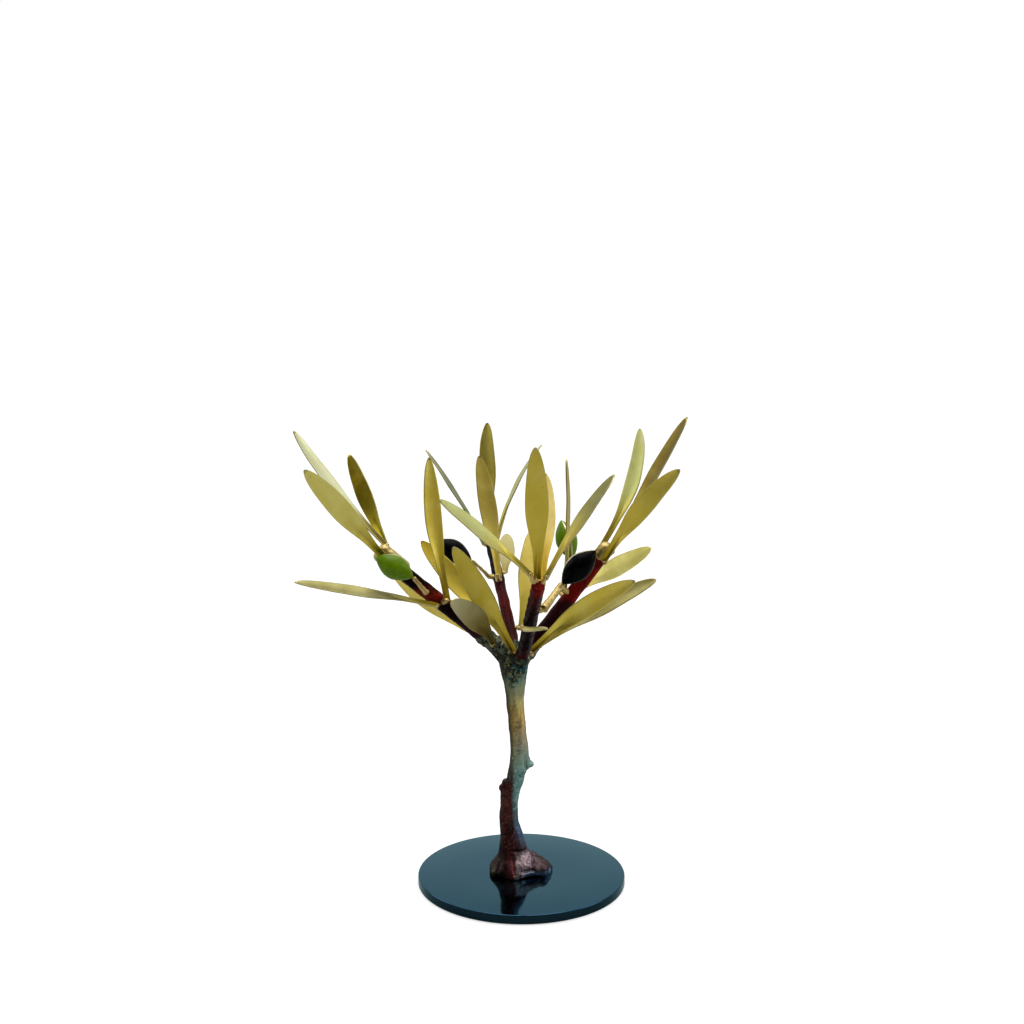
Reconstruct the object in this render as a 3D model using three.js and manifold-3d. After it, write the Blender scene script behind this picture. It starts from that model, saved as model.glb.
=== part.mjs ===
// An olive tree made as a small table sculpture: a cast bronze trunk on a round steel disc, four
// enamelled boughs, and leaves cut from brass sheet, with four enamelled olives on short stalks.
// Millimetres, +Z up. The front is -Y, and the origin is the middle of the disc's underside.

import * as THREE from "three";
import { mergeVertices } from "three/addons/utils/BufferGeometryUtils.js";
import Module from "manifold-3d";

const wasm = await Module();
wasm.setup();

// ---- Driving dimensions ----

const GAP = 0.3;               // clear space where one piece is fixed to another

const DISC_RADIUS = 45;
const DISC_THICKNESS = 4;
const DISC_EDGE = 0.6;         // softened rim
const DISC_SIDES = 72;

const TRUNK_SIDES = 20;
const TRUNK_RINGS = 40;
const FORK = [-3.5, 0, 97];    // where the four stubs leave the trunk's head
const STUB_SIDES = 12;
const STUB_WIDER = 0.2;        // a stub's end beyond the radius of its bough

const BOUGH_SIDES = 12;
const BOUGH_RINGS = 9;
const KNOT_SPREAD = 0.035;     // share of the bough's length over which a knot swells

const CAP_LENGTH = 3.2;
const CAP_SHAPE = [1, 1.1, 1.05, 0.85, 0.35];   // radii along a cap, as shares of its bough's

const LEAF_THICKNESS = 0.6;
const LEAF_STEPS = 13;
const LEAF_CROWDING = 1.6;     // above 1 brings the steps together towards the rounded tip
const LEAF_STALK_WIDTH = 2.8;  // the gutter-shaped foot of a leaf
const LEAF_STAND_OFF = 1.4;    // from a bough's skin to the foot of a leaf
const LEAF_TIP_WIDTH = 0.5;

const OLIVE_SIDES = 12;
const OLIVE_STEPS = 9;
const STALK_SIDES = 8;
const STALK_FOOT = 1.3;        // a stalk's foot is this much thicker than its end

// ---- Materials, one for each mesh ----

const FINISH = {
  disc: { color: 0x1d3138, roughness: 0.25, metalness: 0.6 },
  trunk: { color: 0x5c4a3a, roughness: 0.55, metalness: 0.7 },
  bough: { color: 0x3a0d10, roughness: 0.2, metalness: 0.1 },
  leaf: { color: 0xb29a45, roughness: 0.35, metalness: 1.0 },
  oliveGreen: { color: 0x4f8a1c, roughness: 0.2, metalness: 0.0 },
  oliveBlack: { color: 0x0c0b10, roughness: 0.15, metalness: 0.0 },
};

const tree = new THREE.Group();

function addMesh(name, geometry, finish) {
  const mesh = new THREE.Mesh(geometry, new THREE.MeshStandardMaterial(FINISH[finish]));
  mesh.name = name;
  tree.add(mesh);
}

const vec = (list) => new THREE.Vector3(...list);
const smooth = (low, high, x) => THREE.MathUtils.smoothstep(x, low, high);

// ---- Rings of points joined into one closed skin ----

// cap: the triangles that close an end, as places in the ring; a round end is a plain fan

function skinRings(rings, cap) {
  const sides = rings[0].length;
  const fan = Array.from({ length: sides - 2 }, (_, k) => [0, k + 1, k + 2]);
  const positions = rings.flat().flatMap((p) => [p.x, p.y, p.z]);
  const index = [];
  for (let r = 0; r < rings.length - 1; r++) {
    for (let k = 0; k < sides; k++) {
      const a = r * sides + k;
      const b = r * sides + ((k + 1) % sides);
      index.push(a, b, b + sides, a, b + sides, a + sides);
    }
  }
  const last = (rings.length - 1) * sides;
  for (const [a, b, c] of cap ?? fan) {
    index.push(c, b, a, last + a, last + b, last + c);
  }
  const geometry = new THREE.BufferGeometry();
  geometry.setAttribute("position", new THREE.Float32BufferAttribute(positions, 3));
  geometry.setIndex(index);
  return geometry;
}

function tube(start, end, radii, sides, extra = 0) {
  const axis = end.clone().sub(start).normalize();
  const side = new THREE.Vector3(0, -1, 0).addScaledVector(axis, axis.y).normalize();
  const other = axis.clone().cross(side);
  const steps = radii.length - 1;
  const rings = radii.map((radius, i) => {
    const centre = start.clone().lerp(end, i / steps);
    return Array.from({ length: sides }, (_, k) => {
      const angle = (2 * Math.PI * k) / sides;
      return centre.clone()
        .addScaledVector(side, Math.cos(angle) * (radius + extra))
        .addScaledVector(other, Math.sin(angle) * (radius + extra));
    });
  });
  return skinRings(rings);
}

// ---- Joining and cutting ----

function toSolid(geometry) {
  const bare = geometry.clone();
  bare.deleteAttribute("normal");
  bare.deleteAttribute("uv");
  const merged = mergeVertices(bare, 1e-4);
  return new wasm.Manifold(new wasm.Mesh({
    numProp: 3,
    vertProperties: new Float32Array(merged.attributes.position.array),
    triVerts: new Uint32Array(merged.index.array),
  }));
}

function toGeometry(solid) {
  const mesh = solid.getMesh();
  const geometry = new THREE.BufferGeometry();
  geometry.setAttribute("position", new THREE.Float32BufferAttribute(mesh.vertProperties, 3));
  geometry.setIndex(Array.from(mesh.triVerts));
  return geometry;
}

// ---- Disc: a flat steel round with a softened rim ----

function discGeometry() {
  const inner = DISC_RADIUS - DISC_EDGE;
  const profile = [
    [0, 0], [inner, 0], [DISC_RADIUS, DISC_EDGE],
    [DISC_RADIUS, DISC_THICKNESS - DISC_EDGE], [inner, DISC_THICKNESS], [0, DISC_THICKNESS],
  ].map(([r, z]) => new THREE.Vector2(r, z));
  const geometry = new THREE.LatheGeometry(profile, DISC_SIDES);
  return geometry.rotateX(Math.PI / 2);
}

addMesh("base_disc", discGeometry(), "disc");

// ---- Boughs: four straight tapering limbs, one to each side ----
// knots: how far along the bough its swellings stand, and how far each stands out

const BOUGHS = {
  left: { from: [-14, 0, 107.5], to: [-59, 0, 143.3], radii: [3.3, 2.9], knots: [[0.52, 0.3], [0.8, 0.2]] },
  back: { from: [-3, 4, 103], to: [-14, 50, 141], radii: [2.4, 2.1], knots: [[0.16, 0.7], [0.64, 0.6]] },
  front: { from: [0.2, -6.2, 100.5], to: [6, -50, 140], radii: [2.7, 2.6], knots: [[0.4, 0.2]] },
  right: { from: [2.5, 0, 102], to: [34, -9, 146], radii: [3.4, 2.6], knots: [[0.5, 0.3], [0.6, 0.2]] },
};

function boughRadius(bough, t) {
  const straight = THREE.MathUtils.lerp(...bough.radii, t);
  return bough.knots.reduce((radius, [at, swell]) => {
    const away = (t - at) / KNOT_SPREAD;
    return radius + swell * Math.exp(-away * away);
  }, straight);
}

function boughGeometry(bough, extra = 0) {
  const start = vec(bough.from);
  const end = vec(bough.to);
  const axis = end.clone().sub(start).normalize();
  start.addScaledVector(axis, -extra);
  const stops = Array.from({ length: BOUGH_RINGS + 1 }, (_, i) => boughRadius(bough, i / BOUGH_RINGS));
  return tube(start, end, stops, BOUGH_SIDES, extra);
}

for (const [side, bough] of Object.entries(BOUGHS)) {
  addMesh(`bough_${side}`, boughGeometry(bough), "bough");
}

// ---- Caps: rounded beads of brass solder that close two of the boughs ----

function capGeometry(bough) {
  const axis = vec(bough.to).sub(vec(bough.from)).normalize();
  const foot = vec(bough.to).addScaledVector(axis, GAP);
  const end = foot.clone().addScaledVector(axis, CAP_LENGTH);
  const radii = CAP_SHAPE.map((share) => share * bough.radii[1]);
  return tube(foot, end, radii, BOUGH_SIDES);
}

for (const side of ["left", "right"]) {
  addMesh(`cap_${side}`, capGeometry(BOUGHS[side]), "leaf");
}

// ---- Trunk: root flare, a leaning stem with two buds, and a head with a stub for each bough ----
// stations: height, then the middle and the half width of the stem there

const STATIONS = [
  { z: DISC_THICKNESS, x: -1, y: 2, r: 14.1 },
  { z: 6, x: -1, y: 2, r: 14 },
  { z: 8.2, x: -1.3, y: 1.8, r: 12.6 },
  { z: 10.2, x: -1.6, y: 1.4, r: 10.4 },
  { z: 12, x: -2.8, y: 0.9, r: 7.6 },
  { z: 14.5, x: -3.6, y: 0.5, r: 6.1 },
  { z: 18, x: -3.8, y: 0.2, r: 5.4 },
  { z: 23, x: -4.6, y: 0.6, r: 4.7 },
  { z: 30, x: -5.5, y: 1.1, r: 3.9 },
  { z: 38, x: -4.8, y: 0.6, r: 4 },
  { z: 45, x: -3, y: -0.4, r: 4 },
  { z: 55, x: -1, y: -1.1, r: 4.1 },
  { z: 66, x: -1.5, y: -0.6, r: 3.8 },
  { z: 80, x: -2.7, y: 0.3, r: 3.8 },
  { z: 86, x: -3.1, y: 0, r: 4.2 },
  { z: 92, x: -3.1, y: 0, r: 5.4 },
  { z: 97, x: -3.3, y: 0, r: 6.2 },
  { z: 101, x: -3.5, y: 0, r: 4.8 },
  { z: 103, x: -3.5, y: 0, r: 2 },
];
const FLARE_TOP = 16;          // the flare's lobes fade out at this height
const FLARE_DEPTH = 0.86;      // the foot's depth as a share of its width

// buds: height, the way each faces in degrees from +X, how far it stands out, and its height
const BUDS = [
  { z: 52.5, facing: -8, out: 1.4, tall: 2.4 },
  { z: 40.6, facing: 184, out: 1.4, tall: 2.6 },
  { z: 86.5, facing: -10, out: 0.7, tall: 2 },
];
const BUD_SPREAD = 38;         // degrees round the stem

function stationAt(z) {
  const last = STATIONS.length - 1;
  let i = 0;
  while (i < last - 1 && STATIONS[i + 1].z < z) i++;
  const [before, low, high, after] = [i - 1, i, i + 1, i + 2]
    .map((k) => STATIONS[THREE.MathUtils.clamp(k, 0, last)]);
  const t = (z - low.z) / (high.z - low.z);
  const along = (key) => {
    const slopeLow = (high[key] - before[key]) / (high.z - before.z);
    const slopeHigh = (after[key] - low[key]) / (after.z - low.z);
    const span = high.z - low.z;
    const t2 = t * t;
    const t3 = t2 * t;
    return (2 * t3 - 3 * t2 + 1) * low[key] + (t3 - 2 * t2 + t) * span * slopeLow
      + (3 * t2 - 2 * t3) * high[key] + (t3 - t2) * span * slopeHigh;
  };
  return { x: along("x"), y: along("y"), r: along("r") };
}

function trunkRadius(r, z, angle) {
  const flare = 1 - smooth(DISC_THICKNESS, FLARE_TOP, z);
  const lobes = 0.05 * Math.cos(3 * angle + 0.6) + 0.03 * Math.cos(5 * angle - 1);
  const ribs = 0.03 * Math.cos(2 * angle + z * 0.06);
  let radius = r * (1 + flare * lobes + (1 - flare) * ribs);
  for (const bud of BUDS) {
    const facing = THREE.MathUtils.degToRad(bud.facing);
    const round = Math.atan2(Math.sin(angle - facing), Math.cos(angle - facing));
    const up = (z - bud.z) / bud.tall;
    const wide = round / THREE.MathUtils.degToRad(BUD_SPREAD);
    radius += bud.out * Math.exp(-up * up - wide * wide);
  }
  return radius;
}

function stemGeometry() {
  const top = STATIONS[STATIONS.length - 1].z;
  const rings = Array.from({ length: TRUNK_RINGS + 1 }, (_, i) => {
    const share = (i / TRUNK_RINGS) ** 1.25;
    const z = THREE.MathUtils.lerp(DISC_THICKNESS, top, share);
    const at = stationAt(z);
    const depth = THREE.MathUtils.lerp(FLARE_DEPTH, 1, smooth(8, FLARE_TOP, z));
    return Array.from({ length: TRUNK_SIDES }, (_, k) => {
      const angle = (2 * Math.PI * k) / TRUNK_SIDES;
      const radius = trunkRadius(at.r, z, angle);
      return new THREE.Vector3(at.x + Math.cos(angle) * radius, at.y + Math.sin(angle) * radius * depth, z);
    });
  });
  return skinRings(rings);
}

// each stub runs from the fork to just short of its bough's foot
function stubGeometry(bough) {
  const foot = vec(bough.from);
  const axis = vec(bough.to).sub(foot).normalize();
  const end = foot.addScaledVector(axis, -GAP);
  const radius = bough.radii[0] + STUB_WIDER;
  return tube(vec(FORK), end, [radius + 1.4, radius + 0.5, radius], STUB_SIDES);
}

function trunkGeometry() {
  let trunk = toSolid(stemGeometry());
  for (const bough of Object.values(BOUGHS)) {
    trunk = trunk.add(toSolid(stubGeometry(bough)));
  }
  for (const bough of Object.values(BOUGHS)) {
    trunk = trunk.subtract(toSolid(boughGeometry(bough, GAP)));
  }
  return toGeometry(trunk);
}

addMesh("trunk", trunkGeometry(), "trunk");

// ---- Leaves: thin brass blades, rolled into a gutter at the foot ----
// Each bough has its own list. at, side: how far along the bough and to which side the foot is fixed
// tip: where the point of the leaf is; width: of the blade
// turn: degrees between the blade's face and the front
// bow: how far the middle stands out of its face; sweep: how far it stands to its side

const LEAVES = {
  left: [
    { at: 1.02, side: [0.3, 0.5, 0.6], tip: [-95.5, -1, 196.5], width: 6.8, turn: 58, bow: -2 },
    { at: 0.98, side: [0, -1, 0.15], tip: [-86, -34, 183.5], width: 9, turn: 20, bow: 1 },
    { at: 0.95, side: [0.3, 1, 0.5], tip: [-77, 36, 183.5], width: 8, turn: -20, bow: 1 },
    { at: 0.43, side: [0.1, -0.8, 0.6], tip: [-39, -1, 185.5], width: 8, turn: 30, bow: -1, sweep: -1 },
    { at: 0.45, side: [0.3, -1.3, -1], tip: [-95, -9, 134], width: 7.2, turn: 68, sweep: 1 },
    { at: 0.02, side: [-0.2, 1, -0.4], tip: [-59, 15, 139], width: 8.5, turn: 10, sweep: -2 },
    { at: -0.03, side: [0, -1, 0.1], tip: [-28, -41, 132.6], width: 9.6, turn: 20, bow: 0.5, sweep: 2 },
  ],
  back: [
    { at: 0.14, side: [-1, 0.3, 0.4], tip: [-44, 20, 147], width: 9, turn: 20, bow: -1 },
    { at: 0.61, side: [0, -1, 0.2], tip: [-19, 36, 183], width: 8.5, turn: 22, bow: 1 },
    { at: 0.99, side: [0, -0.2, 1], tip: [-15.5, 58, 196.5], width: 9, turn: -30, bow: 1 },
    { at: 1, side: [-1, 0.2, 0], tip: [-45, 72, 182.5], width: 8.5, turn: 84, bow: 1 },
    { at: 1, side: [1, 0.2, 0], tip: [10, 72, 185], width: 8.5, turn: -82, bow: 3 },
    { at: 0.7, side: [1, -0.1, -0.5], tip: [-6.5, 80, 141], width: 8.5, turn: 0, bow: -1 },
    { at: 0.16, side: [1, -0.3, 0.3], tip: [4, 30, 149.5], width: 8.5, turn: 32, bow: 0 },
  ],
  front: [
    { at: 0.02, side: [-1, 0, 0.9], tip: [-28, -22, 151], width: 9.5, turn: 10, bow: 1 },
    { at: 0.5, side: [-1, 0, -0.4], tip: [8, -66, 126.5], width: 8, turn: 60, bow: 0 },
    { at: 0.99, side: [0, 0.2, 1], tip: [4.5, -66, 195], width: 9, turn: 5, bow: 2 },
    { at: 0.9, side: [0.7, 0.6, 0.9], tip: [9, -22, 181], width: 10, turn: 4, bow: -1 },
    { at: 1.03, side: [-0.7, 0, 0.8], tip: [-31.5, -58, 174.5], width: 8, turn: 62, bow: 1 },
    { at: 1.02, side: [0.8, 0, 0.6], tip: [36, -38, 182], width: 8, turn: -64, bow: 1.5 },
  ],
  right: [
    { at: 1.02, side: [-0.2, 1.3, 0.4], tip: [51, 14, 196.5], width: 7.6, turn: -45, sweep: 4.8 },
    { at: 1.03, side: [1, 0.6, -0.3], tip: [69, -2, 202.5], width: 8.5, turn: -66, bow: 0.6 },
    { at: 0.97, side: [0.5, -1, -0.2], tip: [61.5, -38, 184], width: 8.5, turn: -30, bow: 1, sweep: -1.8 },
    { at: 0.58, side: [0, 1, 0], tip: [58, 32, 142], width: 8.5, turn: -20, bow: -1 },
    { at: 0.58, side: [-1, -0.5, 0.7], tip: [18.5, -2, 185], width: 8, turn: 78, bow: 1 },
    { at: 0.04, side: [0.3, -1, 0.3], tip: [45.5, -28, 138], width: 8.5, turn: -15, sweep: -2.4 },
    { at: 0.06, side: [0.6, 1, -0.6], tip: [58, 8, 132], width: 8.5, turn: -42, sweep: -1.5 },
  ],
};

function pointOnBough({ on, at, side }, standOff) {
  const bough = BOUGHS[on];
  const start = vec(bough.from);
  const end = vec(bough.to);
  const axis = end.clone().sub(start).normalize();
  const out = vec(side);
  out.addScaledVector(axis, -out.dot(axis)).normalize();
  return start.lerp(end, at).addScaledVector(out, boughRadius(bough, at) + standOff);
}

function leafWidth(width, s) {
  const blade = Math.sin(Math.PI * s ** 1.25) ** THREE.MathUtils.lerp(1.5, 0.5, smooth(0.2, 0.9, s));
  const stalk = LEAF_STALK_WIDTH * (1 - smooth(0, 0.36, s));
  return Math.max(width * blade + stalk, LEAF_TIP_WIDTH);
}

function leafGeometry(leaf) {
  const foot = pointOnBough(leaf, LEAF_STAND_OFF);
  const along = vec(leaf.tip).sub(foot);
  const length = along.length();
  along.normalize();
  const front = new THREE.Vector3(0, -1, 0).addScaledVector(along, along.y).normalize();
  const face = front.applyAxisAngle(along, THREE.MathUtils.degToRad(leaf.turn));
  const side = along.clone().cross(face);
  const rings = Array.from({ length: LEAF_STEPS + 1 }, (_, i) => {
    const s = 1 - (1 - i / LEAF_STEPS) ** LEAF_CROWDING;
    const arch = 4 * s * (1 - s);
    const half = leafWidth(leaf.width, s) / 2;
    const gutter = half * THREE.MathUtils.lerp(0.9, 0.12, smooth(0, 0.5, s));
    const centre = foot.clone().addScaledVector(along, s * length)
      .addScaledVector(face, (leaf.bow ?? 0) * arch)
      .addScaledVector(side, (leaf.sweep ?? 0) * arch);
    const place = (across, rise, skin) => centre.clone()
      .addScaledVector(side, across * half)
      .addScaledVector(face, rise * gutter + (skin * LEAF_THICKNESS) / 2);
    return [
      place(-1, 1, 1), place(0, 0, 1), place(1, 1, 1),
      place(1, 1, -1), place(0, 0, -1), place(-1, 1, -1),
    ];
  });
  return skinRings(rings, [[0, 1, 4], [0, 4, 5], [1, 2, 3], [1, 3, 4]]);
}

for (const [on, leaves] of Object.entries(LEAVES)) {
  leaves.forEach((leaf, i) => addMesh(`leaf_${on}_${i + 1}`, leafGeometry({ on, ...leaf }), "leaf"));
}

// ---- Olives: pointed enamelled drupes, each held by a short stalk from a bough ----
// ends: the blind end and the end at the stalk; thick: across
// stalk: its radius at the olive; held: where the stalk is fixed

const OLIVES = {
  green_left: { ends: [[-60.8, -10.5, 144.8], [-45.3, -10, 136.3]], thick: 10.4, stalk: 1, finish: "oliveGreen",
    held: { on: "left", at: 0.58, side: [0, -1, 0] } },
  black_back: { ends: [[-38.5, 26, 145.5], [-22, 26, 137.5]], thick: 10, stalk: 0.8, finish: "oliveBlack",
    held: { on: "back", at: 0.66, side: [-1, -0.4, 0] } },
  black_right: { ends: [[30, -19, 149], [16.5, -19, 135]], thick: 10.6, stalk: 1.5, finish: "oliveBlack",
    held: { on: "front", at: 0.66, side: [1, 0.6, 0] } },
  green_right: { ends: [[17, 14, 157], [22, 12, 140]], thick: 9.5, stalk: 0.8, finish: "oliveGreen",
    held: { on: "right", at: 0.52, side: [-1, 1, 0] } },
};

function oliveGeometry(olive) {
  const [end, foot] = olive.ends.map(vec);
  const radii = Array.from({ length: OLIVE_STEPS + 1 }, (_, i) => {
    const s = i / OLIVE_STEPS;
    return Math.max((olive.thick / 2) * Math.sin(Math.PI * s) ** 0.8, 0.35);
  });
  return tube(foot, end, radii, OLIVE_SIDES);
}

function stalkGeometry(olive) {
  const widest = olive.stalk * STALK_FOOT;
  const foot = pointOnBough(olive.held, widest + GAP);
  const end = vec(olive.ends[1]);
  const axis = end.clone().sub(foot).normalize();
  end.addScaledVector(axis, -GAP * 2);
  return tube(foot, end, [widest, olive.stalk, olive.stalk], STALK_SIDES);
}

for (const [name, olive] of Object.entries(OLIVES)) {
  addMesh(`olive_${name}`, oliveGeometry(olive), olive.finish);
  addMesh(`stalk_${name}`, stalkGeometry(olive), "leaf");
}

export default tree;
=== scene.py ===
import math

import bmesh
import bpy
from mathutils import Matrix, Quaternion, Vector, noise
from mathutils.bvhtree import BVHTree


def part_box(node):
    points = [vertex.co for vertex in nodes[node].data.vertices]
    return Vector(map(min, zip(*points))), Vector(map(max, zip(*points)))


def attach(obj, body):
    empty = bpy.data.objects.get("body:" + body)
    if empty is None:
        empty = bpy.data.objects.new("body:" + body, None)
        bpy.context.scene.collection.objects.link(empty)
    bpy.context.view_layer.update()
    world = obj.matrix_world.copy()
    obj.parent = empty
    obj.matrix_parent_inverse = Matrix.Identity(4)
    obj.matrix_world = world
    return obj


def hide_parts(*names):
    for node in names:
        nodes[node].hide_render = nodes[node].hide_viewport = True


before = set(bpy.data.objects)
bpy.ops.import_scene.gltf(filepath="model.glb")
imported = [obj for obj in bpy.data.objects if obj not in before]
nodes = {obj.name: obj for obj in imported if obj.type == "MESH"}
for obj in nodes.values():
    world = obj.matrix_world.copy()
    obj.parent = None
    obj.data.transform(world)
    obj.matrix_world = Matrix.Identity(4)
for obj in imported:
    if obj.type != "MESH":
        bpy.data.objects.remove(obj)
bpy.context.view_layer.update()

# The disc foot. One round steel plate, its edge eased with a file, lacquered a slate teal that is
# polished until it mirrors the tree. The whole piece stands on its flat underside.

DISC_SIDES = 192
DISC_EDGE_ROUND = 0.0006
DISC_EDGE_STEPS = 6


class Tone:
    """One socket of a finish's node tree. Sums on it lay down Math nodes."""

    def __init__(self, tree, socket=None):
        self.tree = tree
        self.socket = socket

    def node(self, kind, settings, sockets, output=0):
        """Adds one node: first its settings, then the values or links of its sockets."""
        made = self.tree.nodes.new("ShaderNode" + kind)
        for name, value in settings.items():
            if name == "stops":
                self.set_stops(made.color_ramp, value)
            else:
                setattr(made, name, value)
        for name, value in sockets.items():
            if isinstance(value, Tone):
                self.tree.links.new(value.socket, made.inputs[name])
            else:
                made.inputs[name].default_value = value
        return Tone(self.tree, made.outputs[output])

    def set_stops(self, ramp, stops):
        while len(ramp.elements) < len(stops):
            ramp.elements.new(0.5)
        for element, (place, colour) in zip(ramp.elements, stops):
            element.position = place
            element.color = (*colour, 1)

    def feed(self, shader, name):
        self.tree.links.new(self.socket, shader.inputs[name])

    def math(self, operation, first, second):
        return self.node("Math", {"operation": operation}, {0: first, 1: second})

    def __add__(self, other):
        return self.math("ADD", self, other)

    __radd__ = __add__

    def __sub__(self, other):
        return self.math("SUBTRACT", self, other)

    def __rsub__(self, other):
        return self.math("SUBTRACT", other, self)

    def __mul__(self, other):
        return self.math("MULTIPLY", self, other)

    __rmul__ = __mul__


def new_finish(name, **constants):
    """A material, its shader, and the place on the piece in metres that its nodes start from."""
    finish = bpy.data.materials.new(name)
    finish.use_nodes = True
    shader = finish.node_tree.nodes["Principled BSDF"]
    for socket, value in constants.items():
        shader.inputs[socket.replace("_", " ")].default_value = value
    place = Tone(finish.node_tree).node("TexCoord", {}, {}, "Object")
    return finish, shader, place


def mottle(place, size, detail=3, warp=0):
    """Soft patches about size metres across, from 0 to 1."""
    sockets = {"Vector": place, "Scale": 1 / size, "Detail": detail, "Distortion": warp}
    return place.node("TexNoise", {}, sockets, "Fac")


def between(value, low, high):
    """0 below low and 1 above high, with a soft step."""
    settings = {"interpolation_type": "SMOOTHSTEP"}
    return value.node("MapRange", settings, {"Value": value, "From Min": low, "From Max": high})


def laid_over(mask, under, over):
    """The colour over where the mask is 1, and the colour under where it is 0."""
    under = under if isinstance(under, Tone) else (*under, 1)
    over = over if isinstance(over, Tone) else (*over, 1)
    return mask.node("Mix", {"data_type": "RGBA"}, {0: mask, 6: under, 7: over}, 2)


def raised(height, depth, shader, strength=1):
    """Fine relief of depth metres that follows the height mask."""
    settings = {"Height": height, "Distance": depth, "Strength": strength}
    height.node("Bump", {}, settings).feed(shader, "Normal")


def piece_from(name, shape):
    """Turns a bmesh into an object."""
    mesh = bpy.data.meshes.new(name)
    shape.to_mesh(mesh)
    shape.free()
    piece = bpy.data.objects.new(name, mesh)
    bpy.context.scene.collection.objects.link(piece)
    return piece


def dress(piece, slot, *finishes):
    """Gives a piece its finishes and smooth shading, and says what it rides on."""
    for finish in finishes:
        piece.data.materials.append(finish)
    piece.data.shade_smooth()
    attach(piece, "root")


def turned(shape, foot, tip, profile, sides):
    """Turns a profile of (share of the way to the tip, radius) about the line foot to tip."""
    axis = tip - foot
    across = axis.orthogonal().normalized()
    around = axis.normalized().cross(across)
    rings = []
    for along, radius in profile:
        centre = foot + axis * along
        if radius == 0:
            rings.append([shape.verts.new(centre)])
            continue
        turns = [math.tau * side / sides for side in range(sides)]
        rings.append([
            shape.verts.new(centre + radius * (math.cos(turn) * across + math.sin(turn) * around))
            for turn in turns
        ])
    for ring, following in zip(rings, rings[1:]):
        for side in range(sides):
            corners = [ring[side % len(ring)], ring[(side + 1) % len(ring)]]
            corners += [following[(side + 1) % len(following)], following[side % len(following)]]
            shape.faces.new(list(dict.fromkeys(corners)))
    return rings


disc_low, disc_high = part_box("base_disc")
disc_radius = (disc_high.x - disc_low.x) / 2
disc_thick = disc_high.z - disc_low.z
disc_profile = [(0, 0), (0, disc_radius * 0.5)]
for step in range(DISC_EDGE_STEPS + 1):
    turn = math.pi / 2 * step / DISC_EDGE_STEPS
    out = disc_radius - DISC_EDGE_ROUND * (1 - math.sin(turn))
    disc_profile.append((DISC_EDGE_ROUND * (1 - math.cos(turn)) / disc_thick, out))
disc_profile += [(1 - along, out) for along, out in reversed(disc_profile)]
disc_foot = Vector((0, 0, disc_low.z))
disc_shape = bmesh.new()
turned(disc_shape, disc_foot, Vector((0, 0, disc_high.z)), disc_profile, DISC_SIDES)
bmesh.ops.recalc_face_normals(disc_shape, faces=disc_shape.faces)

glancing_tint = (0.75, 0.97, 1, 1)
disc_finish, shader, place = new_finish("slate_lacquer", Metallic=1, Specular_Tint=glancing_tint)
cloud = mottle(place, 0.02, 4)
lacquer = laid_over(cloud, (0.020, 0.058, 0.095), (0.030, 0.076, 0.120))
facing = place.node("NewGeometry", {}, {}, "Normal")
upright = place.node("SeparateXYZ", {}, {"Vector": facing}, "Z")
# Painted shade: faces that stand upright, the rim, get a darker base colour than the top.
painted_shade_rim = (0.009, 0.026, 0.036)
laid_over(between(upright, 0.3, 0.8), painted_shade_rim, lacquer).feed(shader, "Base Color")
(0.04 + 0.05 * cloud + 0.03 * mottle(place, 0.004, 5)).feed(shader, "Roughness")
raised(mottle(place, 0.0015, 4), 0.00002, shader, 0.4)

disc = piece_from("disc_foot", disc_shape)
dress(disc, "disc_lacquer", disc_finish)
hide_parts("base_disc")

# The trunk. Bronze cast in one piece with its root flare and the four stubs of the fork, chased
# with a punch, then patinated in bands: maroon and teal below, green above, ochre under the fork.
# Knobs are buds and runs of melt, cuts and the pit are chased in the front, as x and z.
# Its colour also holds painted light: painted shade down the left side, and a painted highlight
# and a painted glint on the front of the root flare.

TRUNK_SKIN = 0.00032
FLUTE_DEPTH = 0.00036
FLUTES_ACROSS = 420
FLUTES_UP = 75
SWELL_DEPTH = 0.0003
SWELLS = 210
GRAIN_DEPTH = 0.0001
GRAINS = 900
ROOT_LOBES = 5
ROOT_DEPTH = 0.001
ROOT_HEIGHT = 0.011
ROOT_CENTRE = (-0.0015, 0.0018)
ROOT_HALF_WIDTH = 0.013
FORK_DROP = 0.010
STUB_SHARES = (0.5, 0.75, 1.0, 1.2)
END_REACH = 0.003
JOIN_DISTANCE = 0.00001
BAND_TOP = 0.1
BOUGHS = ["left", "back", "front", "right"]
KNOBS = [
    (Vector((0.0038, -0.0010, 0.0528)), 0.0016), (Vector((0.0024, -0.0008, 0.0550)), 0.0013),
    (Vector((-0.0078, -0.0004, 0.0420)), 0.0021), (Vector((-0.0070, 0, 0.0445)), 0.0017),
    (Vector((-0.0011, -0.0048, 0.0938)), 0.0016), (Vector((-0.0040, -0.0042, 0.0890)), 0.0015),
    (Vector((0.0010, -0.0040, 0.0965)), 0.0013), (Vector((-0.0062, -0.0044, 0.0975)), 0.0016),
    (Vector((0.0080, -0.0040, 0.0060)), 0.0034), (Vector((-0.0110, -0.0050, 0.0050)), 0.0028),
]
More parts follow.
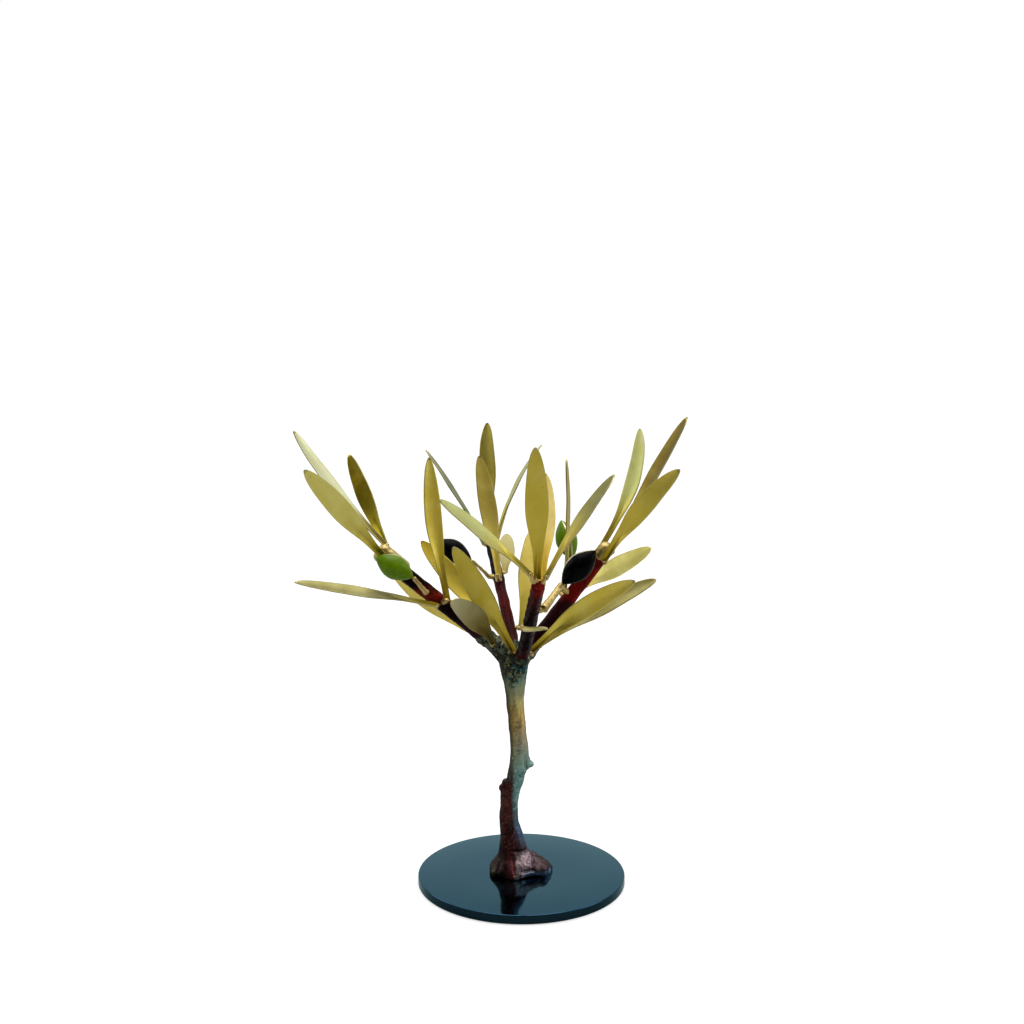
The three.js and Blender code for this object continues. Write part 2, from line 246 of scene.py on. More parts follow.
CUTS = [
    ((-0.0043, 0.0150), (0.0018, 0.0146), 0.0004, 0.0009),
    ((0.0004, 0.0072), (0.0054, 0.0078), 0.0005, 0.0010),
    ((0.0016, 0.0570), (0.0022, 0.0500), 0.0005, 0.0007),
    ((-0.0049, 0.0488), (-0.0058, 0.0377), 0.0007, 0.0002),
    ((-0.0058, 0.0377), (-0.0041, 0.0243), 0.0007, 0.0002),
    ((-0.0095, 0.0378), (-0.0066, 0.0386), 0.0005, 0.0005),
    ((-0.0085, 0.0335), (-0.0058, 0.0322), 0.0004, 0.0004),
    ((-0.0088, 0.0266), (-0.0055, 0.0280), 0.0004, 0.0004),
    ((-0.0080, 0.0213), (-0.0050, 0.0224), 0.0004, 0.0004),
    ((-0.0040, 0.0130), (-0.0030, 0.0060), 0.0005, 0.0006),
    ((0.0052, 0.0120), (0.0062, 0.0060), 0.0006, 0.0007),
]
PIT = (-0.0037, 0.0568)
PIT_RADIUS = 0.0005
PIT_DEPTH = 0.0011
TEAL_SPOTS = [((-0.0034, -0.006, 0.0915), 0.0027), ((0.0001, -0.005, 0.0965), 0.0042)]


def copied(node, name):
    """A new object in a CAD node's shape, with the corners of its facets joined."""
    shape = bmesh.new()
    shape.from_mesh(nodes[node].data)
    bmesh.ops.remove_doubles(shape, verts=shape.verts, dist=JOIN_DISTANCE)
    return piece_from(name, shape)


def end_ring(node, point):
    """The middle and the radius of the end of a long node that is nearer to a point."""
    places = [vertex.co for vertex in nodes[node].data.vertices]
    near = min((place - point).length for place in places)
    ring = [place for place in places if (place - point).length < near + END_REACH]
    middle = sum(ring, Vector()) / len(ring)
    return middle, max((place - middle).length for place in ring)


def drop(shape, centre, radius):
    """A ball of melt laid on a shape, to be skinned together with it."""
    made = bmesh.ops.create_icosphere(shape, subdivisions=3, radius=radius)
    bmesh.ops.translate(shape, verts=made["verts"], vec=centre)


def settled(piece):
    """Fixes a piece's modifiers into its mesh."""
    graph = bpy.context.evaluated_depsgraph_get()
    mesh = bpy.data.meshes.new_from_object(piece.evaluated_get(graph))
    piece.modifiers.clear()
    piece.data = mesh
    return piece


def skinned(piece, size, rounds):
    """Covers a piece in one even skin of small faces, and rubs down its corners."""
    skin = piece.modifiers.new("skin", "REMESH")
    skin.mode = "VOXEL"
    skin.voxel_size = size
    rub = piece.modifiers.new("rub", "SMOOTH")
    rub.factor = 0.5
    rub.iterations = rounds
    return settled(piece)


def worked(piece, relief):
    """Moves every point of a skin out along its normal by what the relief says there."""
    points = [(point, point.co.copy(), point.normal.copy()) for point in piece.data.vertices]
    for point, place, normal in points:
        point.co = place + normal * relief(place)


def lump(away, radius, height):
    """A rounded bump, or a pit where height is below zero, at that distance from its middle."""
    return height * math.exp(-(away / radius) ** 2)


def score(place, start, end, width, depth):
    """A groove cut from start to end in the front, which are given as x and z."""
    place = Vector((place.x, place.z))
    line = Vector(end) - Vector(start)
    along = max(0, min(1, (place - Vector(start)).dot(line) / line.length_squared))
    return lump((place - Vector(start) - along * line).length, width, -depth)


def trunk_relief(place):
    drawn_up = Vector((place.x * FLUTES_ACROSS, place.y * FLUTES_ACROSS, place.z * FLUTES_UP))
    relief = FLUTE_DEPTH * noise.noise(drawn_up)
    relief += SWELL_DEPTH * noise.noise(place * SWELLS + Vector((3, 1, 7)))
    relief += GRAIN_DEPTH * noise.fractal(place * GRAINS, 0.9, 2.1, 4)
    foot = max(0, 1 - (place.z - disc_high.z) / ROOT_HEIGHT)
    turn = math.atan2(place.y - ROOT_CENTRE[1], place.x - ROOT_CENTRE[0])
    lobes = math.cos(ROOT_LOBES * turn + 1.9) - 0.7 + 0.5 * math.cos(3 * turn)
    relief += ROOT_DEPTH * foot * lobes
    if place.y < 0:
        relief += sum(score(place, *cut) for cut in CUTS)
        away = (Vector((place.x, place.z)) - Vector(PIT)).length
        relief += lump(away, PIT_RADIUS, -PIT_DEPTH)
    return relief


trunk_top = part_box("trunk")[1].z
fork = Vector((-0.0035, 0, trunk_top - FORK_DROP))
trunk = copied("trunk", "trunk_cast")
shape = bmesh.new()
shape.from_mesh(trunk.data)
for centre, radius in KNOBS:
    drop(shape, centre, radius)
for name in BOUGHS:
    middle, radius = end_ring(f"bough_{name}", fork)
    for share in STUB_SHARES:
        drop(shape, fork.lerp(middle, share), radius * (1.18 - 0.12 * share))
shape.to_mesh(trunk.data)
shape.free()
skinned(trunk, TRUNK_SKIN, 6)
worked(trunk, trunk_relief)

trunk_finish, shader, place = new_finish(
    "bronze_patina", Metallic=0.8, Specular_IOR_Level=0.2, Specular_Tint=(0.5, 0.5, 0.5, 1)
)
height = place.node("SeparateXYZ", {}, {"Vector": place}, "Z")
facing = place.node("NewGeometry", {}, {}, "Normal")
across = place.node("SeparateXYZ", {}, {"Vector": facing}, "X")
wander = mottle(place, 0.008, 4) - 0.5
band = (height + 0.008 * wander) * (1 / BAND_TOP)
# The left colours are partly patina, the maroon below, and partly painted shade: above the maroon
# they are darker than the right, as if lit from the right.
left_bands = [
    (20, (0.050, 0.009, 0.009)), (30, (0.055, 0.009, 0.010)), (36, (0.11, 0.028, 0.024)),
    (41, (0.055, 0.018, 0.016)), (45, (0.050, 0.014, 0.014)), (49, (0.06, 0.065, 0.055)),
    (56, (0.22, 0.26, 0.16)), (61, (0.24, 0.25, 0.10)), (67, (0.26, 0.18, 0.06)),
    (73, (0.30, 0.21, 0.055)), (79, (0.21, 0.15, 0.065)), (82, (0.13, 0.15, 0.075)),
    (88, (0.15, 0.18, 0.11)), (95, (0.07, 0.08, 0.05)),
]
right_bands = [
    (16, (0.07, 0.05, 0.065)), (21, (0.07, 0.12, 0.20)), (24, (0.045, 0.10, 0.17)),
    (28, (0.06, 0.11, 0.13)), (33, (0.10, 0.16, 0.19)), (38, (0.24, 0.40, 0.38)),
    (42, (0.20, 0.44, 0.41)), (49, (0.17, 0.33, 0.28)), (56, (0.28, 0.42, 0.34)),
    (61, (0.38, 0.38, 0.27)), (66, (0.42, 0.34, 0.19)), (72, (0.53, 0.38, 0.14)),
    (77, (0.62, 0.46, 0.14)), (80, (0.62, 0.54, 0.20)), (84, (0.36, 0.35, 0.18)),
    (90, (0.19, 0.30, 0.20)), (96, (0.18, 0.26, 0.21)),
]


def bands(stops):
    return [(height_mm / 1000 / BAND_TOP, colour) for height_mm, colour in stops]


left = place.node("ValToRGB", {"stops": bands(left_bands)}, {"Fac": band}, "Color")
right = place.node("ValToRGB", {"stops": bands(right_bands)}, {"Fac": band}, "Color")
lower = 1 - between(height, 0.038, 0.050)
ruddy = between(mottle(place, 0.0022, 4, 0.8), 0.50, 0.62) * lower
left = laid_over(0.65 * ruddy, left, (0.16, 0.055, 0.045))
side = between(across + 0.8 * wander - 0.55 * lower, -0.62, 0.2)
patina = laid_over(side, left, right)
drawn = place.node("VectorMath", {"operation": "MULTIPLY"}, {0: place, 1: (1, 1, 0.22)})
streak = between(mottle(drawn, 0.0016, 4, 0.6), 0.35, 0.62)
patina = laid_over(0.28 * (1 - streak), patina, (0.02, 0.018, 0.016))
spread = place.node("SeparateXYZ", {}, {"Vector": place}, "X")
glaze = between(mottle(place, 0.0017, 3, 0.5), 0.52, 0.66) * side
glaze = glaze * between(height, 0.030, 0.036) * (1 - between(height, 0.047, 0.058))
patina = laid_over(0.7 * glaze, patina, (0.42, 0.66, 0.62))
edges = between(across.math("ABSOLUTE", across, 0), 0.45, 0.85)
fork_dark = between(height + 0.012 * wander, 0.087, 0.093) * (1 - 0.6 * edges)
scale = between(mottle(place, 0.0026, 3, 0.8), 0.48, 0.60)
fork_tone = laid_over(scale, (0.007, 0.008, 0.006), (0.11, 0.12, 0.075))
patina = laid_over(0.85 * fork_dark, patina, fork_tone)
blue = between(mottle(place, 0.0022, 2), 0.46, 0.56)
blot = laid_over(blue, (0.004, 0.018, 0.022), (0.016, 0.085, 0.085))
for spot, reach in TEAL_SPOTS:
    away = place.node("VectorMath", {"operation": "DISTANCE"}, {0: place, 1: spot}, "Value")
    teal = 1 - between(away + 0.0016 * (scale - 0.5), 0.6 * reach, reach)
    patina = laid_over(0.9 * teal, patina, blot)
bare = between(mottle(place, 0.0015, 5, 0.8), 0.59, 0.67)
patina = laid_over(bare * (0.12 + 0.6 * fork_dark), patina, (0.50, 0.38, 0.10))
# Colours across the root flare, partly patina (maroon, brown and purple lumps) and partly painted
# light: the pale pink front face is a painted highlight, and the near black on its left is painted
# shade.
root_bands = [
    (-13, (0.10, 0.09, 0.045)), (-10.5, (0.012, 0.009, 0.008)), (-7, (0.020, 0.006, 0.005)),
    (-5.6, (0.10, 0.014, 0.012)), (-3.6, (0.13, 0.03, 0.028)), (-2.6, (0.38, 0.28, 0.29)),
    (3.2, (0.36, 0.27, 0.29)), (4.8, (0.13, 0.085, 0.105)), (8, (0.15, 0.105, 0.10)),
    (12, (0.03, 0.02, 0.03)),
]
root_stops = [(0.5 + spot_mm / 2000 / ROOT_HALF_WIDTH, colour) for spot_mm, colour in root_bands]
root_place = (spread + ROOT_HALF_WIDTH + 0.006 * wander) * (0.5 / ROOT_HALF_WIDTH)
root = place.node("ValToRGB", {"stops": root_stops}, {"Fac": root_place}, "Color")
ahead = place.node("SeparateXYZ", {}, {"Vector": facing}, "Y")
# The painted highlight is kept to the front: faces of the flare turned away from the front lose
# the pale colour and are painted dark.
root = laid_over(between(ahead, -0.45, 0.05), root, (0.05, 0.028, 0.026))
root = laid_over(0.75 * (1 - streak), root, (0.05, 0.03, 0.035))
low = 1 - between(height + 0.005 * wander, 0.012, 0.0155)
patina = laid_over(low, patina, root)
# A painted highlight: a pale blue line low on the front of the flare, kept to faces turned to the
# front.
painted_glint = (1 - between(height, 0.0062, 0.0068)) * between(spread, 0.0005, 0.0015)
painted_glint = painted_glint * (1 - between(ahead, -0.5, -0.2))
patina = laid_over(0.7 * painted_glint, patina, (0.22, 0.32, 0.45))
# Painted shade: faces turned to the left are darkened towards near black.
patina = laid_over(0.75 * (1 - between(across, -0.95, -0.45)), patina, (0.02, 0.018, 0.016))
patina.feed(shader, "Base Color")
(0.22 + 0.30 * mottle(place, 0.002, 5)).feed(shader, "Roughness")
raised(mottle(place, 0.0007, 5, 0.3) + 0.5 * streak, 0.00012, shader, 0.6)

dress(trunk, "bronze_patina", trunk_finish)
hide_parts("trunk")

# The four boughs. Thick wire soldered into the stubs, built up with lumps of enamel that ran down
# while hot: near black with maroon, and bright red where it is thin towards the ends.

BOUGH_SKIN = 0.0003
BOUGH_SINK = 0.0025
BOUGH_BUILD = 0.00022
DRIP_DEPTH = 0.00026
BEADING_DEPTH = 0.00007
BLACK = (0.006, 0.0012, 0.0015)
MAROON = (0.040, 0.006, 0.008)
RED = (0.17, 0.006, 0.004)
BOUGH_BANDS = {
    "left": [
        (107, (0.040, 0.012, 0.012)), (114, (0.035, 0.008, 0.008)), (117, BLACK), (123, BLACK),
        (125, (0.12, 0.006, 0.005)), (128, (0.20, 0.016, 0.006)), (131, BLACK), (143, BLACK),
    ],
    "back": [
        (103, (0.06, 0.022, 0.010)), (112, MAROON), (119, (0.09, 0.008, 0.008)), (127, MAROON),
        (130, BLACK), (141, BLACK),
    ],
    "front": [
        (100, (0.08, 0.004, 0.004)), (104, (0.03, 0.003, 0.004)), (108, BLACK),
        (126, (0.010, 0.003, 0.004)), (134, (0.05, 0.004, 0.005)), (138, RED), (141, RED),
    ],
    "right": [
        (102, (0.035, 0.007, 0.009)), (112, (0.018, 0.004, 0.006)), (120, (0.030, 0.006, 0.008)),
        (125, MAROON), (128, RED), (146, RED),
    ],
}


def bough_enamel(name, bands_up):
    """Enamel whose colour changes up the bough. A band is its height in millimetres and colour."""
    constants = {"Specular_IOR_Level": 0.02, "Coat_Roughness": 0.06}
    finish, shader, place = new_finish(f"enamel_{name}_bough", **constants)
    height = place.node("SeparateXYZ", {}, {"Vector": place}, "Z")
    run = mottle(place, 0.006, 3, 0.6)
    low, high = bands_up[0][0] / 1000, bands_up[-1][0] / 1000
    stops = [((mark / 1000 - low) / (high - low), colour) for mark, colour in bands_up]
    share = (height + 0.007 * (run - 0.5) - low) * (1 / (high - low))
    colour = place.node("ValToRGB", {"stops": stops}, {"Fac": share}, "Color")
    laid_over(0.5 * (1 - between(run, 0.3, 0.5)), colour, BLACK).feed(shader, "Base Color")
    (0.14 + 0.16 * mottle(place, 0.0012, 4)).feed(shader, "Roughness")
    bubble = between(mottle(place, 0.0011, 2), 0.60, 0.68)
    (0.008 + 0.3 * bubble * between(height, 0.118, 0.126)).feed(shader, "Coat Weight")
    raised(mottle(place, 0.0013, 3, 0.3) + 0.8 * bubble, 0.0001, shader, 0.6)
    return finish


def bough_relief(place):
    drawn_up = Vector((place.x * 260, place.y * 260, place.z * 200))
    drips = noise.noise(drawn_up + Vector((11, 5, 2)))
    return BOUGH_BUILD + DRIP_DEPTH * drips + BEADING_DEPTH * noise.noise(place * 520)


wood = [trunk]
for name in BOUGHS:
    bough = copied(f"bough_{name}", f"bough_{name}_enamelled")
    middle, radius = end_ring(f"bough_{name}", fork)
    for point in bough.data.vertices:
        if (point.co - middle).length < radius * 1.05:
            point.co += (fork - middle).normalized() * BOUGH_SINK
    skinned(bough, BOUGH_SKIN, 12)
    worked(bough, bough_relief)
    dress(bough, "bough_enamel", bough_enamel(name, BOUGH_BANDS[name]))
    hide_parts(f"bough_{name}")
    wood.append(bough)

# The leaves. Blades cut from sheet brass, planished, with the foot folded into a gutter and the
# rim left bright from the file. Their tone runs from straw to dark olive with how each was heated:
# a tone is its colour, its roughness, the colour at the foot and how far that reaches.

LEAF_ROUNDS = 3
GOLD_FOOT = (0.42, 0.31, 0.015)
# Two tones, cream and amber, are brass brightened beyond its own tone as painted highlight, for
# blades that catch the light.
LEAF_TONES = {
    "pale": ((0.66, 0.66, 0.42), 0.42, (0.55, 0.46, 0.10), 0.030),
    "straw": ((0.76, 0.69, 0.22), 0.42, GOLD_FOOT, 0.024),
    # Painted highlight: this brass is brightened for a blade that catches the light.
    "cream_painted_highlight": ((1.0, 0.90, 0.30), 0.70, (0.80, 0.64, 0.08), 0.024),
    "lime": ((0.52, 0.53, 0.22), 0.42, (0.55, 0.44, 0.06), 0.032),
    "khaki": ((0.42, 0.38, 0.13), 0.40, GOLD_FOOT, 0.020),
    "moss": ((0.33, 0.30, 0.12), 0.42, GOLD_FOOT, 0.020),
    "sage": ((0.27, 0.26, 0.10), 0.42, (0.50, 0.40, 0.07), 0.036),
    "gold": ((0.62, 0.51, 0.09), 0.38, (0.45, 0.33, 0.03), 0.020),
    "satin": ((0.56, 0.46, 0.12), 0.66, (1.0, 0.86, 0.22), 0.034),
    "honey": ((0.80, 0.67, 0.14), 0.38, GOLD_FOOT, 0.020),
    # Painted highlight: this brass is brightened for a blade that catches the light.
    "amber_painted_highlight": ((1.0, 0.84, 0.36), 0.60, (0.66, 0.46, 0.03), 0.034),
    "umber": ((0.22, 0.165, 0.030), 0.40, (0.48, 0.37, 0.04), 0.034),
    "dark": ((0.19, 0.145, 0.002), 0.36, (0.62, 0.50, 0.04), 0.032),
    "dull": ((0.50, 0.45, 0.22), 0.5, (0.50, 0.40, 0.10), 0.024),
    "fern": ((0.24, 0.27, 0.10), 0.42, (0.24, 0.24, 0.06), 0.024),
    "ash": ((0.60, 0.56, 0.34), 0.46, (0.24, 0.17, 0.004), 0.055),
    "wheat": ((0.70, 0.58, 0.17), 0.60, (0.56, 0.47, 0.06), 0.026),
}
LEAVES = {
    "left": ["pale", "straw", "dark", "honey", "moss", "cream_painted_highlight", "ash"],
    "back": ["honey", "satin", "honey", "fern", "lime", "dull", "wheat"],
    "front": ["gold", "straw", "gold", "amber_painted_highlight", "lime", "sage"],
    "right": ["lime", "umber", "honey", "khaki", "gold", "honey", "moss"],
}
RIM_WIDTH = 0.0007
RIM_CREASE = 0.75
DENT_SEED = 4
DENT_DEPTH = 0.00018
HAMMER_DEPTH = 0.00003
FOOT_LENGTH = 0.0022


def wood_surface():
    """The skins of the trunk and boughs in one tree for finding the nearest point on them."""
    joined = bmesh.new()
    for piece in wood:
        joined.from_mesh(piece.data)
    found = BVHTree.FromBMesh(joined)
    joined.free()
    return found


surface = wood_surface()


def ends_of(piece):
    """The two ends of a long piece: the points that are furthest apart."""
    points = [point.co.copy() for point in piece.data.vertices]
    centre = sum(points, Vector()) / len(points)
    first = max(points, key=lambda point: (point - centre).length)
    second = max(points, key=lambda point: (point - first).length)
    return first, second


def foot_of(piece):
    """The end of a blade or stalk that is nearer to the wood, and the point it is soldered to."""
    tip = min(ends_of(piece), key=lambda end: surface.find_nearest(end)[3])
    ring = [point.co for point in piece.data.vertices if (point.co - tip).length < FOOT_LENGTH]
    foot = sum(ring, Vector()) / len(ring)
    return foot, surface.find_nearest(foot)[0]


def based_at(piece, point):
    """Moves a piece's own origin to a point, and leaves the piece where it is."""
    piece.data.transform(Matrix.Translation(-point))
    piece.location = point


def leaf_finish(name, colour, roughness, foot_colour, foot_reach):
    """Brass heated from the foot, which is the origin of every blade."""
    finish, shader, place = new_finish(f"brass_{name}", Metallic=1)
    heat = mottle(place, 0.012, 3, 0.5)
    deep = tuple(part * part ** 0.25 for part in colour)
    tint = laid_over(between(heat, 0.3, 0.75), deep, colour)
    away = place.node("VectorMath", {"operation": "LENGTH"}, {0: place}, "Value")
    warmed = 1 - between(away + 0.012 * (heat - 0.5), 0.2 * foot_reach, foot_reach)
    tint = laid_over(0.9 * warmed, tint, foot_colour)
    speck = between(mottle(place, 0.0008, 1), 0.70, 0.77)
    tint = laid_over(0.35 * speck, tint, (0.10, 0.08, 0.02))
    bloom = between(mottle(place, 0.005, 5, 1), 0.55, 0.8)
    pale = tuple(0.9 * part + 0.12 * colour[0] for part in colour)
    laid_over(0.5 * bloom * (1 - 0.85 * warmed), tint, pale).feed(shader, "Base Color")
    (roughness - 0.06 + 0.12 * mottle(place, 0.0016, 5)).feed(shader, "Roughness")
    hammer = place.node("TexVoronoi", {"feature": "SMOOTH_F1"}, {"Vector": place, "Scale": 420})
    raised(0.6 * hammer + 0.5 * mottle(place, 0.0007, 5), 0.00004, shader, 0.35)
    return finish


def planished(piece):
    """Rounds a cut blade's facets, keeps its rim crisp, and hammers it a little out of true."""
    shape = bmesh.new()
    shape.from_mesh(piece.data)
    bmesh.ops.join_triangles(
        shape, faces=shape.faces, angle_face_threshold=0.6, angle_shape_threshold=1.2
    )
    for face in shape.faces:
        face.material_index = int(min(edge.calc_length() for edge in face.edges) < RIM_WIDTH)
    creases = shape.edges.layers.float.new("crease_edge")
    for edge in shape.edges:
        if edge.calc_face_angle(0) > 0.7:
            edge[creases] = RIM_CREASE
    shape.to_mesh(piece.data)
    shape.free()
    finer = piece.modifiers.new("finer", "SUBSURF")
    finer.levels = LEAF_ROUNDS
    settled(piece)
    for point in piece.data.vertices:
        dent = noise.noise_vector(point.co * 90) * DENT_DEPTH
        point.co += dent + noise.noise_vector(point.co * 400) * HAMMER_DEPTH


rim_finish, shader, place = new_finish("filed_rim", Metallic=1)
filed = mottle(place, 0.003, 3)
laid_over(filed, (0.26, 0.22, 0.06), (0.66, 0.59, 0.28)).feed(shader, "Base Color")
(0.22 + 0.16 * mottle(place, 0.0012, 3)).feed(shader, "Roughness")
finishes = {name: leaf_finish(name, *tone) for name, tone in LEAF_TONES.items()}
noise.seed_set(DENT_SEED)
feet = {}
for bough_name, tones in LEAVES.items():
    for number, tone in enumerate(tones, 1):
        node = f"leaf_{bough_name}_{number}"
        leaf = copied(node, f"{node}_blade")
        planished(leaf)
        feet[node] = foot_of(leaf)
        based_at(leaf, feet[node][0])
        dress(leaf, "leaf_brass", finishes[tone], rim_finish)
        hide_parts(node)

# The solder. A bead of hard brass solder holds each leaf's foot to its bough, drawn up into a
# rounded lump where the leaf was set last, and a cap of it closes the ends of two boughs.

BEAD_SKIN = 0.00028
BEAD_SPACING = 0.0008
BEAD_SIZE = 0.0010
BIG_BEAD_SIZE = 0.0015
FOOT_SINK = 0.0006
SEAT_SINK = 0.0004
CAP_SKIN = 0.00022
CAP_LUMPS = {"left": (0.001, 0.0095, 0.0026, 0.0028), "right": (0.0018, 0.001, 0.0005, 0.0035)}
BIG_BEADS = ["leaf_left_4", "leaf_back_2", "leaf_right_5", "leaf_right_6"]

solder_finish, shader, place = new_finish("brass_solder", Metallic=1)
pool = mottle(place, 0.004, 3, 0.6)
laid_over(pool, (0.34, 0.24, 0.06), (0.72, 0.56, 0.24)).feed(shader, "Base Color")
(0.28 + 0.25 * mottle(place, 0.0012, 4)).feed(shader, "Roughness")
raised(mottle(place, 0.0009, 4), 0.00008, shader, 0.6)


def bead(shape, start, end, start_radius, end_radius):
    """Lays a drop of solder as a row of overlapping balls, to be skinned together."""
    steps = 4 + round((end - start).length / BEAD_SPACING)
    for step in range(steps + 1):
        share = step / steps
        radius = start_radius + (end_radius - start_radius) * share
        drop(shape, start.lerp(end, share), radius)


def bead_relief(place):
    return 0.00016 * noise.noise(place * 700) + 0.00005 * noise.noise(place * 2200)


def soldered(name, shape):
    """Melts the beads laid on a shape into one another."""
    beads = skinned(piece_from(name, shape), BEAD_SKIN, 5)
    worked(beads, bead_relief)
    dress(beads, "solder_brass", solder_finish)


for bough_name in BOUGHS:
    shape = bmesh.new()
    for node, (foot, seat) in feet.items():
        if node.startswith(f"leaf_{bough_name}"):
            inward = (seat - foot).normalized()
            size = BIG_BEAD_SIZE if node in BIG_BEADS else BEAD_SIZE
            start = foot - inward * FOOT_SINK
            bead(shape, start, seat + inward * SEAT_SINK, size * 0.85, size)
    if bough_name in CAP_LUMPS:
        beyond, back, lift, size = CAP_LUMPS[bough_name]
        cap_low, cap_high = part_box(f"cap_{bough_name}")
        end = end_ring(f"bough_{bough_name}", (cap_low + cap_high) / 2)[0]
        inward = (fork - end).normalized()
        lifted = (Vector((0, 0, 1)) - inward * inward.z).normalized() * lift
        start = end - inward * beyond + lifted
        bead(shape, start, end + inward * back + lifted, size, size * 0.9)
    soldered(f"solder_{bough_name}", shape)

for name in ["left", "right"]:
    cap = skinned(copied(f"cap_{name}", f"cap_{name}_solder"), CAP_SKIN, 6)
    worked(cap, lambda place: 0.0004 * noise.noise(place * 420) + 0.0001)
    dress(cap, "solder_brass", solder_finish)
    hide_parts(f"cap_{name}")

# The olives. Each is two pressed shells joined along a raised seam, filled and enamelled, green
# or black, with the seam rubbed back to bare brass. A brass stalk solders it to its bough.

OLIVE_SIDES = 64
OLIVE_STEPS = 40
SEAM_RAISE = 0.0002
SEAM_HALF_WIDTH = 0.09
DIMPLE = 0.04
STALK_SKIN = 0.0002
OLIVES = {"green_left": 12, "black_back": -9, "black_right": 7, "green_right": 70}


def enamel(name, thin, thick, gloss):
    finish, shader, place = new_finish(name, Specular_IOR_Level=gloss, Coat_Weight=gloss / 2)
    glaze = mottle(place, 0.004, 3, 0.5)
    laid_over(glaze, thick, thin).feed(shader, "Base Color")
    (0.15 + 0.15 * mottle(place, 0.001, 4)).feed(shader, "Roughness")
    raised(mottle(place, 0.0014, 3), 0.00008, shader, 0.5)
    return finish


enamels = {
    "green": enamel("green_enamel", (0.16, 0.30, 0.001), (0.085, 0.17, 0.001), 0.12),
    "black": enamel("black_enamel", (0.0008, 0.0008, 0.0012), (0.0005, 0.0005, 0.0005), 0.03),
}
seam_finish, shader, place = new_finish("bare_seam", Metallic=1)
worn = mottle(place, 0.002, 4)
laid_over(worn, (0.42, 0.36, 0.16), (0.75, 0.70, 0.48)).feed(shader, "Base Color")
(0.25 + 0.2 * worn).feed(shader, "Roughness")


def off_axis(place, start, axis):
    return place - start - axis * (place - start).dot(axis)


def seam_at(out, seam):
    """1 on the seam of an olive, falling to 0 beside it."""
    return math.exp(-(out.normalized().cross(seam).length / SEAM_HALF_WIDTH) ** 2)


stalk_beads = bmesh.new()
for name, seam_tilt in OLIVES.items():
    node = f"olive_{name}"
    first, second = ends_of(nodes[node])
    axis = (second - first).normalized()
    thick = max(off_axis(point.co, first, axis).length for point in nodes[node].data.vertices)
    seam = axis.cross(Vector((0, 1, 0))).normalized()
    seam.rotate(Quaternion(axis, math.radians(seam_tilt)))
    profile = [(0, 0)]
    for step in range(1, OLIVE_STEPS):
        along = (1 - math.cos(math.pi * step / OLIVE_STEPS)) / 2
        profile.append((along, thick * math.sin(math.pi * along) ** 0.8))
    profile.append((1, 0))
    shape = bmesh.new()
    turned(shape, first, second, profile, OLIVE_SIDES)
    for point in shape.verts:
        out = off_axis(point.co, first, axis)
        if out.length > 0.0001:
            dimple = DIMPLE * noise.noise(point.co * 260)
            point.co += out * dimple + out.normalized() * SEAM_RAISE * seam_at(out, seam)
    bmesh.ops.recalc_face_normals(shape, faces=shape.faces)
    for face in shape.faces:
        out = off_axis(face.calc_center_median(), first, axis)
        face.material_index = int(seam_at(out, seam) > 0.3)
    colour = name.split("_")[0]
    olive = piece_from(f"{node}_enamelled", shape)
    dress(olive, f"enamel_{colour}", enamels[colour], seam_finish)
    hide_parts(node)
    stalk = skinned(copied(f"stalk_{name}", f"stalk_{name}_brass"), STALK_SKIN, 3)
    worked(stalk, lambda place: 0.00022 * noise.noise(place * 500))
    dress(stalk, "solder_brass", solder_finish)
    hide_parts(f"stalk_{name}")
    foot, seat = foot_of(stalk)
    bead(stalk_beads, foot, seat, 0.0012, 0.0013)
soldered("solder_stalks", stalk_beads)

# The table and the light. A plain pale floor under a white tent: soft light from above, behind
# and the right, with a darker room on the side that the tree is looked at from.

FLOOR_HALF = 6
FLOOR_GLOW = 0.62
TENT_WHITE = 0.75
ROOM_DARK = 0.03

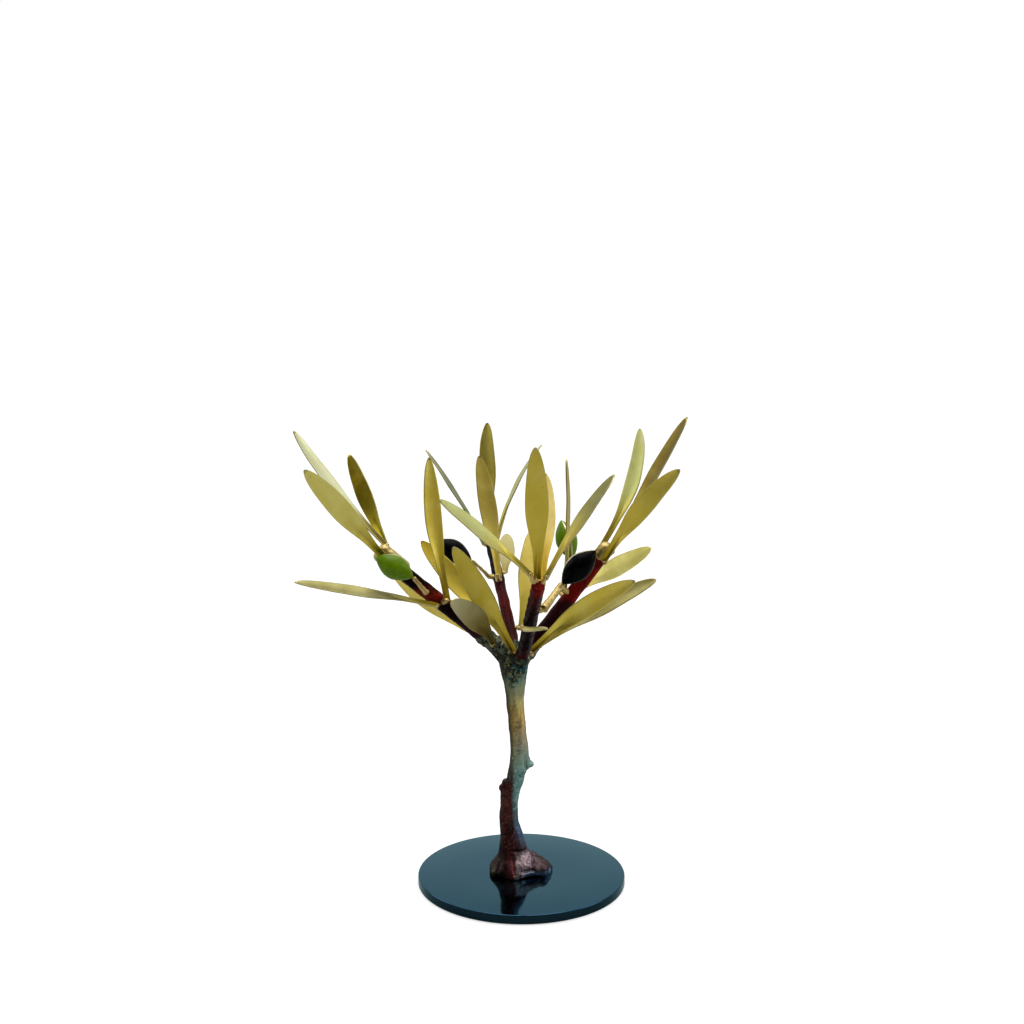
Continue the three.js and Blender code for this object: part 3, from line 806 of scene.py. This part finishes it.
floor_shape = bmesh.new()
bmesh.ops.create_grid(floor_shape, x_segments=24, y_segments=24, size=FLOOR_HALF)
constants = {"Roughness": 0.8, "Emission_Strength": FLOOR_GLOW}
floor_finish, shader, place = new_finish("pale_floor", **constants)
cloud = mottle(place, 0.3, 3)
laid_over(cloud, (0.48, 0.48, 0.48), (0.52, 0.52, 0.52)).feed(shader, "Base Color")
seen = place.node("LightPath", {}, {}, "Is Camera Ray")
laid_over(seen, (0, 0, 0), (1, 1, 1)).feed(shader, "Emission Color")
floor = piece_from("floor", floor_shape)
floor.location.z = disc_low.z - 0.0002
floor.data.materials.append(floor_finish)

world = bpy.data.worlds.new("tent")
world.use_nodes = True
bpy.context.scene.world = world
background = world.node_tree.nodes["Background"]
sky = Tone(world.node_tree)
direction = sky.node("TexCoord", {}, {}, "Generated")
sideways = sky.node("SeparateXYZ", {}, {"Vector": direction}, "X")
forward = sky.node("SeparateXYZ", {}, {"Vector": direction}, "Y")
upward = sky.node("SeparateXYZ", {}, {"Vector": direction}, "Z")
white = between(forward + 0.6 * upward + 0.25 * sideways, -0.55, 0.30)
overhead = between(upward, 0.4, 0.9)
brightness = ROOM_DARK + (TENT_WHITE - ROOM_DARK) * white + 0.4 * overhead
seen = sky.node("LightPath", {}, {}, "Is Camera Ray")
brightness = seen + (1 - seen) * brightness
brightness.feed(background, "Strength")
background.inputs["Color"].default_value = (1, 1, 1, 1)


def soft_light(name, place, target, size, power):
    lamp = bpy.data.lights.new(name, "AREA")
    lamp.shape = "DISK"
    lamp.size = size
    lamp.energy = power
    light = bpy.data.objects.new(name, lamp)
    bpy.context.scene.collection.objects.link(light)
    light.location = place
    light.rotation_euler = (Vector(target) - Vector(place)).to_track_quat("-Z", "Y").to_euler()


crown = (0, 0, 0.15)
soft_light("top_light", (0, 0.1, 1.1), crown, 0.9, 4)
soft_light("left_light", (-0.9, 0.3, 0.6), crown, 0.5, 1.2)
soft_light("right_light", (0.9, -0.1, 0.5), crown, 0.5, 1.5)

# The camera. It looks a little down on the tree from in front, far enough off to keep it upright.

camera_data = bpy.data.cameras.new("camera")
camera_data.sensor_width = 36
camera_data.lens = 46.48
camera = bpy.data.objects.new("camera", camera_data)
bpy.context.scene.collection.objects.link(camera)
camera.location = (-0.0041, -0.5531, 0.2342)
camera.rotation_euler = (math.radians(90 - 7.4), 0, 0)
bpy.context.scene.camera = camera
bpy.context.scene.view_settings.view_transform = "Standard"
